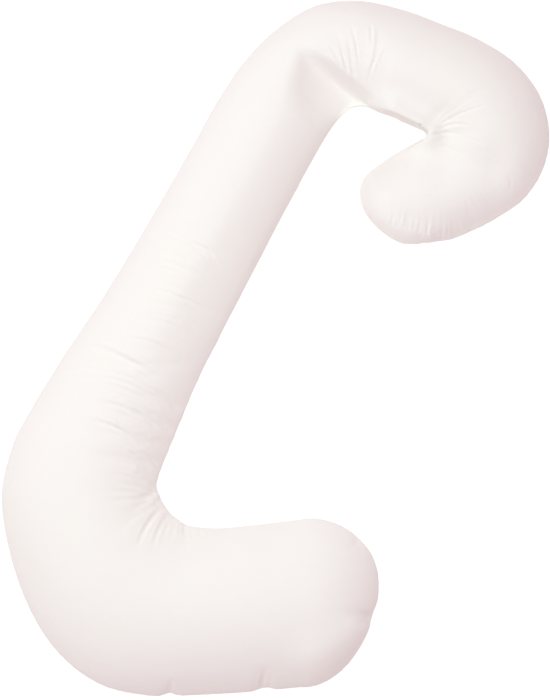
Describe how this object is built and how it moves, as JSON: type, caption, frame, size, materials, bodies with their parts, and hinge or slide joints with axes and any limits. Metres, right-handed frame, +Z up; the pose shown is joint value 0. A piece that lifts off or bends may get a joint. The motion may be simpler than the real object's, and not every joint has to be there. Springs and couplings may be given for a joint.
{
  "type": "body pillow",
  "caption": "Long hooked body pillow in plain off-white cotton, with a straight trunk, a curled head end and a full foot, lying flat.",
  "frame": {"origin": "on the surface that the pillow lies on, under the middle of its box", "axes": "+Z up from the surface; +Y along the straight trunk, from the foot to the hook; +X towards the side on which the hook and the foot turn in"},
  "size_m": [0.81, 1.5, 0.1942],
  "materials": {
    "cotton_fabric": "smooth plain-woven cotton, matt, off-white"
  },
  "bodies": {
    "root": {"pillow": "cotton_fabric"}
  },
  "joints": []
}
